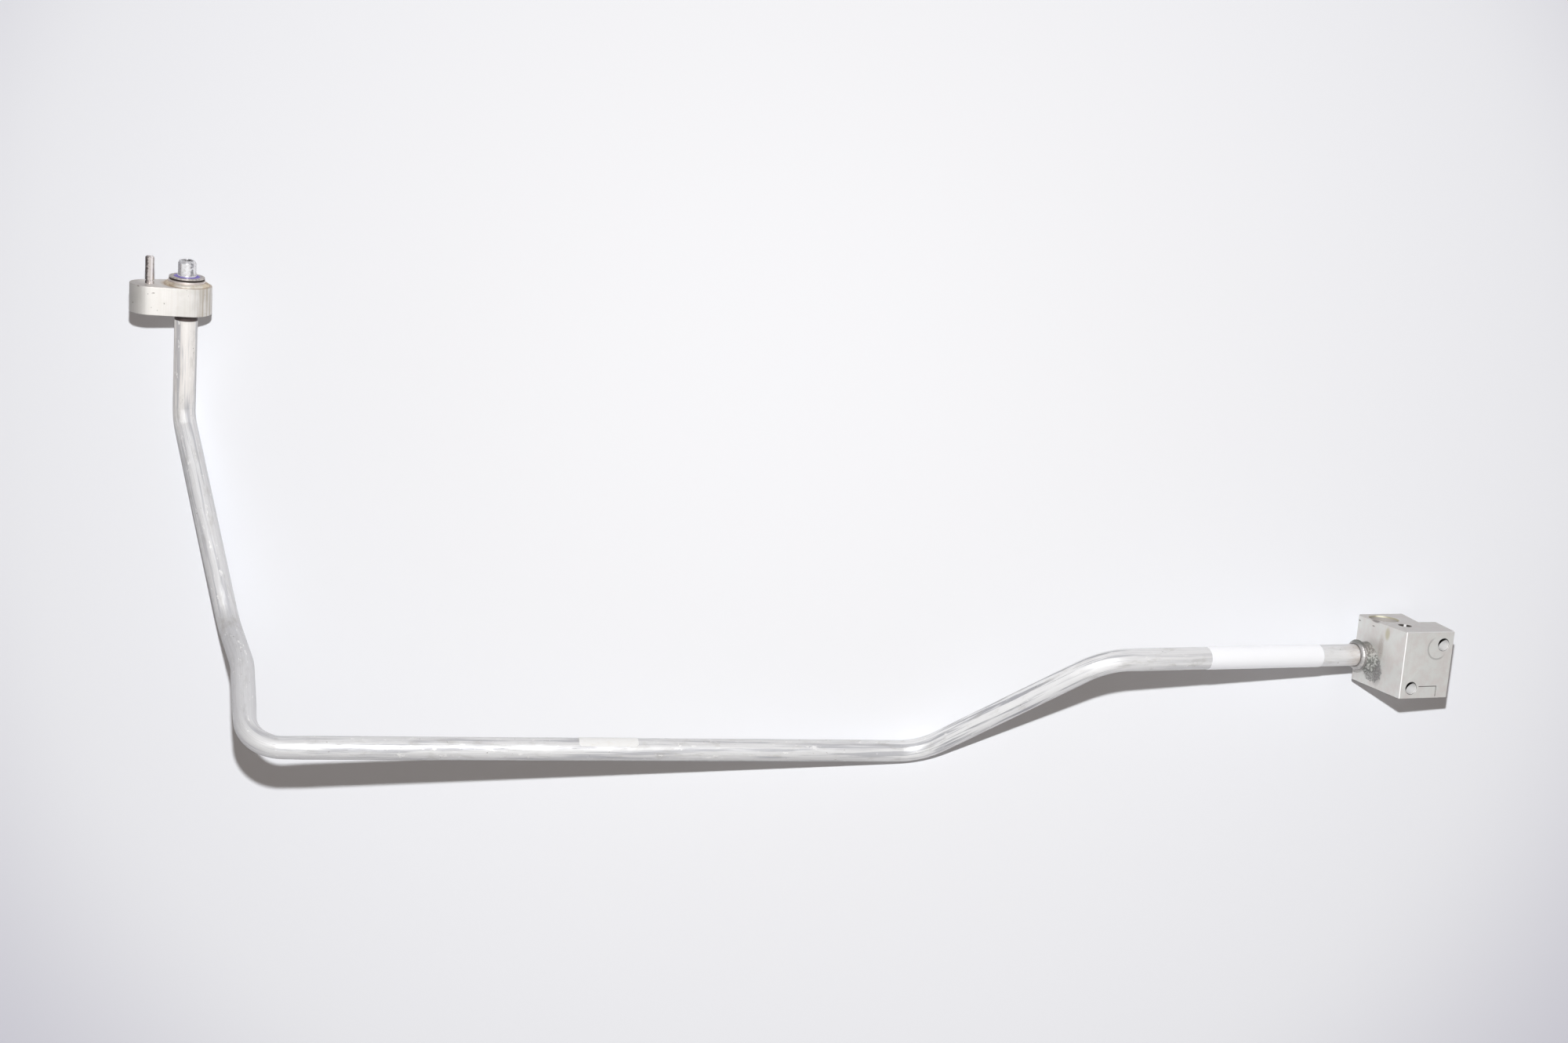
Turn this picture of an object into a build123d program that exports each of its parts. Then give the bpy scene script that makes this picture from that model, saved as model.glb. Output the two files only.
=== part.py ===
"""Rigid air conditioning pipe of a car: a bent aluminium tube with a sealing flange and a connection block."""

import os
from math import cos, radians, sin, tan

from build123d import *

os.makedirs("parts", exist_ok=True)

# Everything is in millimetres, as the pipe lies at rest on a level surface at z = 0.
# It touches that surface at bend 1, at bend 5 and at the lowest corner of the block.

# Tube
tube_od = 10.0
tube_wall = 1.5
tube_r = tube_od / 2
bore_r = tube_r - tube_wall
bend_r = 17.0
wide_bend_r = 21.0

# Bend points of the tube's centre line, from the flange end to the block end
# An arc passes inside its bend point, so bends 1 and 5 have their points a little under its lowest part
bend_1_x = -285.1
bend_1_y = 45.7
bend_1_under = 0.5
bend_2_x = -258.6
bend_2_y = -50.7
bend_2_z = 17.9
bend_3_x = -240.3
bend_3_y = -67.5
bend_3_z = 51.3
bend_4_x = -228.2
bend_4_y = -100.0
bend_4_z = 80.6
bend_5_x = 61.5
bend_5_y = -111.9
bend_5_under = 2.0
bend_6_x = 137.6
bend_6_y = -65.7
bend_1 = Vector(bend_1_x, bend_1_y, tube_r - bend_1_under)
bend_2 = Vector(bend_2_x, bend_2_y, bend_2_z)
bend_3 = Vector(bend_3_x, bend_3_y, bend_3_z)
bend_4 = Vector(bend_4_x, bend_4_y, bend_4_z)
bend_5 = Vector(bend_5_x, bend_5_y, tube_r - bend_5_under)

# Flange end: the run from bend 1 to the plate's back face, its direction and the plate's roll about it
flange_run = 50.0
flange_heading = 8.7
flange_rise = 19.5
flange_roll = 34.7

# Flange plate: an egg shape round the fitting and the locating pin
plate_t = 13.0
plate_big_r = 10.9
plate_small_r = 8.4
pin_offset = 16.0
plate_edge = 0.3

# End fitting: tail in the plate, shoulder on it, pilot for the washer and the spigot in front
tail_r = 6.2
tail_recess = 3.0
tube_seat = 6.0
shoulder_r = 8.0
shoulder_t = 2.3
pilot_r = 4.1
pilot_above_lip = 0.3
spigot_r = 3.9
spigot_length = 8.8
spigot_tip = 1.3
spigot_bore_r = 2.6
joint_gap = 0.05

# Braze round the shoulder
braze_w = 2.0
braze_h = 1.4

# How far a bead's outer side bulges at its middle, as a share of its width and height
bead_fullness = 0.66

# Locating pin
pin_r = 1.9
pin_out = 12.4
pin_in = 9.0
pin_tip = 0.6
pin_neck_w = 0.9
pin_neck_depth = 0.35
pin_gap = 0.02

# Seal washer: steel ring with a rubber lip bonded in it
washer_r = 7.7
washer_hole_r = 5.6
washer_t = 1.2
washer_edge = 0.3
lip_hole_r = pilot_r + joint_gap
lip_t = 1.7
washer_seat_gap = (lip_t - washer_t) / 2

# Connection block: an extruded bar with a stepped side, cut to length and drilled
block_run = 134.8
block_tilt = 16.3
block_roll = 11.4
block_w = 25.6
block_l = 30.8
block_d = 34.8
ear_d = 18.2
ear_step = 9.4
side_draft = 14.2
back_corner_r = 2.5
block_edge = 0.35
pipe_from_front = 25.1
pipe_from_top = 16.9
socket_d = 4.0

# Port and stud hole in the block's top end; the port's axis meets the tube's axis
port_x = 7.3
port_seat_r = 6.4
port_seat_d = 4.5
port_bore_r = 3.5
stud_x = 8.6
stud_from_front = 12.3
stud_r = 2.5
stud_d = 15.0

# Two screw holes through the block from its front face
screw_r = 2.75
screw_1_from_side = 5.2
screw_1_from_top = 6.1
screw_2_x = 5.8
screw_2_from_top = 26.0

# Weld between the tube and the block: a low foot on the block, a thin neck, and the bead in front of it
weld_foot_w = 1.6
weld_foot_h = 1.2
weld_neck_w = 0.6
weld_neck_l = 4.6
bead_w = 2.1
bead_h = 2.4

# Labels, wrapped round the tube
label_t = 0.15
label_gap = 0.03
label_l = 57.9
label_from_bend = 50.3
label_wrap = 290.0
tag_l = 26.4
tag_from_bend = 138.8
tag_wrap = 130.0
tag_turn = 86.0

# Directions of the flange end
heading = radians(flange_heading)
rise = radians(flange_rise)
flange_axis = Vector(sin(heading) * cos(rise), cos(heading) * cos(rise), sin(rise))
level_left = Vector(-cos(heading), sin(heading), 0)
flange_up = flange_axis.cross(level_left)
roll = radians(flange_roll)
to_pin = level_left * cos(roll) + flange_up * sin(roll)
plate_back = bend_1 + flange_axis * flange_run


def on_flange(height):
    """Plane across the fitting's axis, at a height above the plate's back face, with the pin on its -X side."""
    return Plane(origin=plate_back + flange_axis * height, x_dir=-to_pin, z_dir=flange_axis)


# Section plane through the fitting's axis: X is the radius and Y runs along the axis
flange_section = Plane(origin=plate_back, x_dir=-to_pin, z_dir=(-to_pin).cross(flange_axis))
pin_section = Plane(
    origin=plate_back + to_pin * pin_offset, x_dir=-to_pin, z_dir=(-to_pin).cross(flange_axis)
)

# Directions of the block: along the tube, towards the top end and towards the front face
tilt = radians(block_tilt)
lean = radians(block_roll)
block_in = Vector(cos(tilt), 0, -sin(tilt))
block_top = Vector(0, 1, 0) * cos(lean) + block_in.cross(Vector(0, 1, 0)) * sin(lean)
block_front = block_in.cross(block_top)

# Height of the tube where it enters the block, from the lowest corner, which rests on the surface
draft = tan(radians(side_draft))
pipe_from_back = block_d - pipe_from_front
pipe_from_bottom = block_l - pipe_from_top
back_w = block_w - ear_step + block_d * draft
screw_1_x = block_w - screw_1_from_side
lowest = block_in * back_w - block_top * pipe_from_bottom - block_front * pipe_from_back
bend_6 = Vector(bend_6_x, bend_6_y, -lowest.Z) - Vector(0, 0, block_in.Z * block_run)
block_entry = bend_6 + block_in * block_run

# Direction of the long run, and the middle of the small label on it, turned from the top to the far side
run_dir = (bend_5 - bend_4).normalized()
run_side = Vector(0, 0, 1).cross(run_dir).normalized()
turn = radians(tag_turn)
tag_middle = run_dir.cross(run_side) * cos(turn) + run_side * sin(turn)


def bead_points(inner, base, width, height):
    """Toe, crown and head of a bead's section on a corner at (inner, base), with a bulging outer side."""
    toe = (inner + width, base)
    crown = (inner + width * bead_fullness, base + height * bead_fullness)
    head = (inner, base + height)
    return toe, crown, head


def wrap_outline(wrap):
    """Closed outline of a thin band round the tube, over an angle centred on the sketch's X axis."""
    inner = CenterArc((0, 0), tube_r + label_gap, -wrap / 2, wrap)
    outer = CenterArc((0, 0), tube_r + label_gap + label_t, -wrap / 2, wrap)
    Line(inner @ 0, outer @ 0)
    Line(inner @ 1, outer @ 1)


with BuildPart() as pipe:
    with BuildLine() as centre_line:
        FilletPolyline(
            plate_back + flange_axis * (tail_recess + tube_seat),
            bend_1,
            bend_2,
            bend_3,
            bend_4,
            bend_5,
            bend_6,
            block_entry + block_in * socket_d,
            radius=[bend_r, bend_r, bend_r, bend_r, wide_bend_r, wide_bend_r],
        )
    with BuildSketch(Plane(origin=centre_line.line @ 0, z_dir=centre_line.line % 0)):
        Circle(tube_r)
        Circle(bore_r, mode=Mode.SUBTRACT)
    sweep()
pipe.part.label = "pipe"
export_step(pipe.part, "parts/pipe.step")

with BuildPart() as flange_plate:
    with BuildSketch(on_flange(0)):
        Circle(plate_big_r)
        with Locations((-pin_offset, 0)):
            Circle(plate_small_r)
        make_hull()
    extrude(amount=plate_t)
    rims = flange_plate.faces().sort_by(Axis(plate_back, flange_axis))
    chamfer([rims[0].outer_wire().edges(), rims[-1].outer_wire().edges()], plate_edge)
    with BuildSketch(on_flange(0)):
        Circle(tail_r + joint_gap)
    extrude(amount=plate_t, mode=Mode.SUBTRACT)
    with BuildSketch(on_flange(plate_t - pin_in)):
        with Locations((-pin_offset, 0)):
            Circle(pin_r + pin_gap)
    extrude(amount=pin_in, mode=Mode.SUBTRACT)
flange_plate.part.label = "flange_plate"
export_step(flange_plate.part, "parts/flange_plate.step")

shoulder_top = plate_t + shoulder_t
pilot_top = shoulder_top + lip_t + pilot_above_lip
spigot_end = shoulder_top + spigot_length

with BuildPart() as end_fitting:
    with BuildSketch(flange_section):
        with BuildLine():
            Polyline(
                (tube_r + joint_gap, tail_recess),
                (tail_r, tail_recess),
                (tail_r, plate_t),
                (shoulder_r, plate_t),
                (shoulder_r, shoulder_top),
                (pilot_r, shoulder_top),
                (pilot_r, pilot_top),
                (spigot_r, pilot_top),
                (spigot_r, spigot_end - spigot_tip),
                (spigot_r - spigot_tip / 2, spigot_end),
                (spigot_bore_r, spigot_end),
                (spigot_bore_r, tail_recess + tube_seat),
                (tube_r + joint_gap, tail_recess + tube_seat),
                close=True,
            )
        make_face()
    revolve(axis=Axis(plate_back, flange_axis))
    seat_rim = end_fitting.edges().filter_by(GeomType.CIRCLE).filter_by(
        lambda edge: abs(edge.radius - shoulder_r) < joint_gap
    )
    chamfer(seat_rim.sort_by(Axis(plate_back, flange_axis))[-1], plate_edge)
end_fitting.part.label = "end_fitting"
export_step(end_fitting.part, "parts/end_fitting.step")

with BuildPart() as flange_braze:
    with BuildSketch(flange_section):
        with BuildLine():
            braze_in = shoulder_r + joint_gap
            braze_base = plate_t + joint_gap
            Polyline((braze_in, braze_base), *bead_points(braze_in, braze_base, braze_w, braze_h), close=True)
        make_face()
    revolve(axis=Axis(plate_back, flange_axis))
flange_braze.part.label = "flange_braze"
export_step(flange_braze.part, "parts/flange_braze.step")

with BuildPart() as locating_pin:
    with BuildSketch(pin_section):
        with BuildLine():
            neck_start = plate_t + pin_neck_w
            neck_end = neck_start + pin_neck_w
            Polyline(
                (0, plate_t - pin_in),
                (pin_r, plate_t - pin_in),
                (pin_r, neck_start),
                (pin_r - pin_neck_depth, neck_start + pin_neck_w / 2),
                (pin_r, neck_end),
                (pin_r, plate_t + pin_out - pin_tip),
                (pin_r - pin_tip, plate_t + pin_out),
                (0, plate_t + pin_out),
                close=True,
            )
        make_face()
    revolve(axis=Axis(plate_back + to_pin * pin_offset, flange_axis))
locating_pin.part.label = "locating_pin"
export_step(locating_pin.part, "parts/locating_pin.step")

washer_base = shoulder_top + washer_seat_gap

with BuildPart() as seal_ring:
    with BuildSketch(on_flange(washer_base)):
        Circle(washer_r)
        Circle(washer_hole_r, mode=Mode.SUBTRACT)
    extrude(amount=washer_t)
    ring_ends = seal_ring.faces().filter_by(GeomType.PLANE)
    chamfer([face.outer_wire().edges() for face in ring_ends], washer_edge)
seal_ring.part.label = "seal_ring"
export_step(seal_ring.part, "parts/seal_ring.step")

with BuildPart() as seal_lip:
    with BuildSketch(flange_section):
        with BuildLine():
            lip_low = shoulder_top
            lip_high = shoulder_top + lip_t
            lip_crest = (lip_hole_r + washer_hole_r) / 2
            Polyline(
                (washer_hole_r, washer_base + washer_t),
                (washer_hole_r, washer_base),
                (lip_crest, lip_low),
                (lip_hole_r, washer_base),
                (lip_hole_r, washer_base + washer_t),
                (lip_crest, lip_high),
                close=True,
            )
        make_face()
    revolve(axis=Axis(plate_back, flange_axis))
seal_lip.part.label = "seal_lip"
export_step(seal_lip.part, "parts/seal_lip.step")

# The block's own corner where its left side, top end and front face meet
block_corner = block_entry + block_top * pipe_from_top + block_front * pipe_from_front
# Plan of the bar on the top end: X runs away from the tube and Y towards the back
top_plane = Plane(origin=block_corner, x_dir=block_in, z_dir=block_top)
front_plane = Plane(origin=block_corner, x_dir=block_in, z_dir=block_front)
entry_plane = Plane(origin=block_entry, x_dir=block_top, z_dir=block_in)

with BuildPart() as connection_block:
    with BuildSketch(top_plane):
        with BuildLine():
            Polyline(
                (0, 0),
                (block_w, 0),
                (block_w + ear_d * draft, ear_d),
                (block_w - ear_step + ear_d * draft, ear_d),
                (back_w, block_d),
                (0, block_d),
                close=True,
            )
        make_face()
        fillet(vertices().sort_by_distance((0, block_d, 0))[0], back_corner_r)
    extrude(amount=-block_l)
    ends = connection_block.faces().sort_by(Axis(block_corner, block_top))
    front = connection_block.faces().sort_by(Axis(block_corner, block_front))[-1]
    chamfer(ends[0].edges() + ends[-1].edges() + front.edges(), block_edge)
    with BuildSketch(entry_plane):
        Circle(tube_r + joint_gap)
    extrude(amount=socket_d, mode=Mode.SUBTRACT)
    with BuildSketch(entry_plane):
        Circle(bore_r)
    extrude(amount=port_x, mode=Mode.SUBTRACT)
    with Locations(top_plane), Locations((port_x, pipe_from_front)):
        CounterBoreHole(port_bore_r, port_seat_r, port_seat_d, pipe_from_top + bore_r)
    with Locations(top_plane), Locations((stud_x, stud_from_front)):
        Hole(stud_r, stud_d)
    with Locations(front_plane), Locations((screw_1_x, -screw_1_from_top), (screw_2_x, -screw_2_from_top)):
        Hole(screw_r)
connection_block.part.label = "connection_block"
export_step(connection_block.part, "parts/connection_block.step")

with BuildPart() as weld_bead:
    with BuildSketch(Plane(origin=block_entry, x_dir=block_top, z_dir=block_in.cross(block_top))):
        with BuildLine():
            weld_in = tube_r + joint_gap
            bead_base = joint_gap + weld_neck_l
            Polyline(
                (weld_in, joint_gap),
                (weld_in + weld_foot_w, joint_gap),
                (weld_in + weld_neck_w, joint_gap + weld_foot_h),
                (weld_in + weld_neck_w, bead_base),
                *bead_points(weld_in, bead_base, bead_w, bead_h),
                close=True,
            )
        make_face()
    revolve(axis=Axis(block_entry, block_in))
weld_bead.part.label = "weld_bead"
export_step(weld_bead.part, "parts/weld_bead.step")

with BuildPart() as identification_label:
    with BuildSketch(Plane(bend_6 + block_in * label_from_bend, x_dir=block_front, z_dir=block_in)):
        with BuildLine():
            wrap_outline(label_wrap)
        make_face()
    extrude(amount=label_l)
identification_label.part.label = "identification_label"
export_step(identification_label.part, "parts/identification_label.step")

with BuildPart() as small_label:
    with BuildSketch(Plane(bend_4 + run_dir * tag_from_bend, x_dir=tag_middle, z_dir=run_dir)):
        with BuildLine():
            wrap_outline(tag_wrap)
        make_face()
    extrude(amount=tag_l)
small_label.part.label = "small_label"
export_step(small_label.part, "parts/small_label.step")
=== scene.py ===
import math

import bmesh
import bpy
from bpy.props import FloatProperty, FloatVectorProperty, IntProperty, PointerProperty
from mathutils import Matrix, Vector, noise


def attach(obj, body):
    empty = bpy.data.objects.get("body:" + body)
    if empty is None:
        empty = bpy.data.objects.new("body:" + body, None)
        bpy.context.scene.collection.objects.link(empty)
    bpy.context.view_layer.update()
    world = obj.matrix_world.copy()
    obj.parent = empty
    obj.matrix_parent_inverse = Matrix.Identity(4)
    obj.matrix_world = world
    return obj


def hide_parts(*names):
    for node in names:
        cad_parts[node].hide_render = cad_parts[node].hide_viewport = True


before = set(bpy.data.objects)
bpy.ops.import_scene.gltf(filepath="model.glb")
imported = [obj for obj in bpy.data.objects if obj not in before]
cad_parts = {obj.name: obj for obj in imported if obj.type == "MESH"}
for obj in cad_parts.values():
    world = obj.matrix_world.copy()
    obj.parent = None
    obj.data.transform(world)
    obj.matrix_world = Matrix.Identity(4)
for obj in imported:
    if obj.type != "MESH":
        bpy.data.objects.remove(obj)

bl_info = {
    "name": "Air conditioning pipe",
    "version": (1, 0, 0),
    "blender": (4, 5, 0),
    "location": "3D View > Sidebar > Pipe",
    "description": "Builds a bent aluminium refrigerant pipe with its flange, connection block and labels",
    "category": "Add Mesh",
}

# Piece sizes below are in millimetres, and meshes are turned to metres when they are placed.
MM = 0.001
SEED = 7

WHITE = "#ffffff"
# Plain background past the lit part of the floor
BACKDROP = "#d1d1d8"


def srgb(hex_code):
    """Linear colour of an sRGB hex value."""
    parts = [int(hex_code[i : i + 2], 16) / 255 for i in (1, 3, 5)]
    return tuple(p / 12.92 if p <= 0.04045 else ((p + 0.055) / 1.055) ** 2.4 for p in parts)


def turned(first, second, angle):
    """Direction turned from a first one towards a second one that is square to it."""
    return first * math.cos(angle) + second * math.sin(angle)


def frame_matrix(origin, x_axis, z_axis):
    """Matrix from a piece's own frame to the row frame, all in millimetres."""
    z = z_axis.normalized()
    x = (x_axis - z * x_axis.dot(z)).normalized()
    y = z.cross(x)
    return Matrix.Translation(origin) @ Matrix((x, y, z)).transposed().to_4x4()


# Places and directions of the pipe, as it lies at rest

BENDS = (
    # Bend points of the centre line from the flange end to the block end, each with its radius
    (Vector((-285.1, 45.7, 4.5)), 17.0),
    (Vector((-258.6, -50.7, 17.9)), 17.0),
    (Vector((-240.3, -67.5, 51.3)), 17.0),
    (Vector((-228.2, -100.0, 80.6)), 17.0),
    (Vector((61.5, -111.9, 3.0)), 21.0),
    (Vector((137.6, -65.7, 56.616)), 21.0),
)

FLANGE_RUN = 50.0
FLANGE_HEADING = math.radians(8.7)
FLANGE_RISE = math.radians(19.5)
FLANGE_ROLL = math.radians(34.7)
BLOCK_RUN = 134.8
BLOCK_TILT = math.radians(16.3)
BLOCK_ROLL = math.radians(11.4)


FLANGE_AXIS = Vector(
    (
        math.sin(FLANGE_HEADING) * math.cos(FLANGE_RISE),
        math.cos(FLANGE_HEADING) * math.cos(FLANGE_RISE),
        math.sin(FLANGE_RISE),
    )
)
LEVEL_LEFT = Vector((-math.cos(FLANGE_HEADING), math.sin(FLANGE_HEADING), 0))
TO_PIN = turned(LEVEL_LEFT, FLANGE_AXIS.cross(LEVEL_LEFT), FLANGE_ROLL)
PLATE_BACK = BENDS[0][0] + FLANGE_AXIS * FLANGE_RUN

BLOCK_IN = Vector((math.cos(BLOCK_TILT), 0, -math.sin(BLOCK_TILT)))
BLOCK_TOP = turned(Vector((0, 1, 0)), BLOCK_IN.cross(Vector((0, 1, 0))), BLOCK_ROLL)
BLOCK_FRONT = BLOCK_IN.cross(BLOCK_TOP)
BLOCK_ENTRY = BENDS[-1][0] + BLOCK_IN * BLOCK_RUN

# The block's own frame has its origin at the corner of the tube side, the front and the top end.
# X runs away from the tube, Y from the front to the back, and Z up to the top end.
PIPE_FROM_FRONT = 25.1
PIPE_FROM_TOP = 16.9
BLOCK_CORNER = BLOCK_ENTRY + BLOCK_TOP * PIPE_FROM_TOP + BLOCK_FRONT * PIPE_FROM_FRONT

ON_FLANGE = frame_matrix(PLATE_BACK, -TO_PIN, FLANGE_AXIS)
ON_BLOCK = frame_matrix(BLOCK_CORNER, BLOCK_IN, BLOCK_TOP)
ON_ENTRY = frame_matrix(BLOCK_ENTRY, BLOCK_TOP, -BLOCK_IN)


# Sizes and colours that a user may change


def size_setting(name, description, default, **more):
    return FloatProperty(name=name, description=description, default=default, unit="LENGTH", **more)


def colour_setting(name, description, hex_code):
    return FloatVectorProperty(
        name=name, description=description, default=srgb(hex_code), size=3, subtype="COLOR"
    )


class PipeTubeSettings(bpy.types.PropertyGroup):
    outer_diameter: size_setting("Outer Diameter", "Outer diameter of the tube", 0.010)
    wall: size_setting("Wall", "Wall thickness of the tube", 0.0015)
    flattening: size_setting("Flattening", "How far a bend's section is pressed in", 0.00028)
    sides: IntProperty(name="Sides", description="Faces round the tube", default=72, min=24, max=128)
    colour: colour_setting("Colour", "Clean drawn aluminium", "#e7e8e9")
    stain: colour_setting("Stain", "Dull stains on the tube", "#a9a69f")


class PipeFlangeSettings(bpy.types.PropertyGroup):
    thickness: size_setting("Plate Thickness", "Thickness of the plate", 0.013)
    big_radius: size_setting("Big End", "Radius of the plate round the fitting", 0.0109)
    small_radius: size_setting("Small End", "Radius of the plate round the pin", 0.0084)
    pin_offset: size_setting("Pin Offset", "Distance from the fitting to the pin", 0.016)
    colour: colour_setting("Plate Colour", "Blasted aluminium", "#d8d6d2")
    braze: colour_setting("Braze Colour", "Flux stain on the braze", "#dccfb8")
    lip: colour_setting("Lip Colour", "Rubber of the seal", "#7560cc")


class PipeBlockSettings(bpy.types.PropertyGroup):
    width: size_setting("Width", "Width of the front face", 0.0256)
    length: size_setting("Length", "Length from end to end", 0.0308)
    depth: size_setting("Depth", "Depth from front to back", 0.0348)
    edge: size_setting("Edge", "Rounding of the edges", 0.00035)
    colour: colour_setting("Colour", "Extruded aluminium", "#dfe0dd")
    weld: colour_setting("Weld Colour", "Bead as welded", "#aeadac")


class PipeLabelSettings(bpy.types.PropertyGroup):
    thickness: size_setting("Thickness", "Thickness of the paper", 0.00015, precision=5)
    white: colour_setting("White Label", "Coated white paper", "#fafcff")
    cream: colour_setting("Cream Label", "Aged cream paper", "#eff0f0")


class PipeStageSettings(bpy.types.PropertyGroup):
    floor: colour_setting("Floor", "Pale floor", "#f2f4f8")
    lamp_power: FloatProperty(
        name="Lamp Power", description="Power of the lamp", default=23.5, min=0, unit="POWER"
    )
    lamp_radius: size_setting("Lamp Radius", "Radius of the lamp, which blurs the shadows", 0.009)
    fill: FloatProperty(
        name="Fill", description="Light from all round", default=0.22, min=0, max=1, subtype="FACTOR"
    )


# Nodes


def add_node(tree, kind, inputs=None, **settings):
    """Adds a node with its settings, and fills or links its inputs."""
    new = tree.nodes.new(kind)
    for name, value in settings.items():
        setattr(new, name, value)
    for socket, value in (inputs or {}).items():
        if isinstance(value, Field):
            tree.links.new(value.socket, new.inputs[socket])
        else:
            new.inputs[socket].default_value = value
    return new


class Field:
    """Output of a node; plain sums with it add nodes of their own."""

    def __init__(self, tree, socket):
        self.tree = tree
        self.socket = socket

    def maths(self, operation, second=0.0):
        return field(self.tree, "ShaderNodeMath", "Value", {0: self, 1: second}, operation=operation)

    def vectors(self, operation, inputs=None, output="Value"):
        inputs = {0: self, **(inputs or {})}
        return field(self.tree, "ShaderNodeVectorMath", output, inputs, operation=operation)

    def __add__(self, other):
        return self.maths("ADD", other)

    def __sub__(self, other):
        return self.maths("SUBTRACT", other)

    def __rsub__(self, other):
        return field(self.tree, "ShaderNodeMath", "Value", {0: other, 1: self}, operation="SUBTRACT")

    def __mul__(self, other):
        return self.maths("MULTIPLY", other)

    def __abs__(self):
        return self.maths("ABSOLUTE")

    def larger(self, other):
        return self.maths("MAXIMUM", other)

    def length(self):
        return self.vectors("LENGTH")

    def dot(self, other):
        return self.vectors("DOT_PRODUCT", {1: other})

    def scaled(self, scale):
        return self.vectors("SCALE", {"Scale": scale}, "Vector")

    def parts(self):
        """A vector's three parts."""
        split = add_node(self.tree, "ShaderNodeSeparateXYZ", {0: self})
        return [Field(self.tree, socket) for socket in split.outputs]


def field(tree, kind, output, inputs=None, **settings):
    """One output of a new node."""
    return Field(tree, add_node(tree, kind, inputs, **settings).outputs[output])


def stretched(place, scale, shift=(0, 0, 0)):
    """Place scaled along each direction, so that a pattern runs along one of them."""
    return field(
        place.tree, "ShaderNodeMapping", "Vector", {"Vector": place, "Scale": scale, "Location": shift}
    )


def grain(place, scale, detail=3.0, rough=0.55, shift=(0, 0, 0)):
    """Noise between 0 and 1; scale is in features per millimetre, as one number or along each direction."""
    if isinstance(scale, tuple):
        place, scale = stretched(place, scale, shift), 1.0
    inputs = {"Vector": place, "Scale": scale, "Detail": detail, "Roughness": rough}
    return field(place.tree, "ShaderNodeTexNoise", "Fac", inputs)


def ramp(value, low, high, to_low=0.0, to_high=1.0):
    """Value's stretch from low to high, as a smooth share that is clamped at both ends."""
    inputs = {"Value": value, "From Min": low, "From Max": high, "To Min": to_low, "To Max": to_high}
    return field(value.tree, "ShaderNodeMapRange", "Result", inputs, interpolation_type="SMOOTHSTEP")


def as_colour(value):
    """Value for a colour socket, from a hex value, three linear numbers or a node's output."""
    if isinstance(value, Field):
        return value
    return (*(srgb(value) if isinstance(value, str) else value), 1.0)


def blend_colour(share, first, second):
    """Colour between two, by a share."""
    inputs = {0: share, 6: as_colour(first), 7: as_colour(second)}
    return field(share.tree, "ShaderNodeMix", 2, inputs, data_type="RGBA")


def off_axis(place, at):
    """Distance from an axis through a place, which has none along the axis."""
    across = tuple(0 if part is None else 1 for part in at)
    return stretched(place, across, tuple(-(part or 0) for part in at)).length()


def patch(place, centre, size, edge):
    """Share that is 1 inside an ellipsoid about a centre, with a soft edge."""
    inside = stretched(place, tuple(1 / s for s in size), tuple(-c / s for c, s in zip(centre, size)))
    return ramp(inside.length(), 1 - edge, 1 + edge, 1, 0)


class Skin:
    """Material in the making, with its own place in millimetres, and its colour and bumps so far."""

    def __init__(self, name, attribute="own_mm", **surface):
        self.material = bpy.data.materials.new(name)
        self.material.use_nodes = True
        self.tree = tree = self.material.node_tree
        tree.nodes.clear()
        self.shader = add_node(tree, "ShaderNodeBsdfPrincipled", surface)
        self.lit = Field(tree, self.shader.outputs["BSDF"])
        self.output = add_node(tree, "ShaderNodeOutputMaterial", {"Surface": self.lit})
        if attribute:
            self.place = field(tree, "ShaderNodeAttribute", "Vector", attribute_name=attribute)
        else:
            self.place = field(tree, "ShaderNodeTexCoord", "Object")
        self.x, self.y, self.z = self.place.parts()
        self.tint = self.normal = None

    def start(self, share, first, second):
        self.tint = blend_colour(share, first, second)

    def paint(self, share, over):
        """Covers the colour so far with another, by a share."""
        self.tint = blend_colour(share, self.tint, over)

    def bump(self, height, distance, strength=1.0):
        """Adds a bump from a height between 0 and 1; distance is its full height in millimetres."""
        inputs = {"Height": height, "Distance": distance * MM, "Strength": strength}
        if self.normal:
            inputs["Normal"] = self.normal
        self.normal = field(self.tree, "ShaderNodeBump", "Normal", inputs)

    def finish(self, rough=None, metal=None):
        found = {"Base Color": self.tint, "Roughness": rough, "Metallic": metal, "Normal": self.normal}
        for name, value in found.items():
            if value:
                self.tree.links.new(value.socket, self.shader.inputs[name])
        return self.material


# Materials


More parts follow.
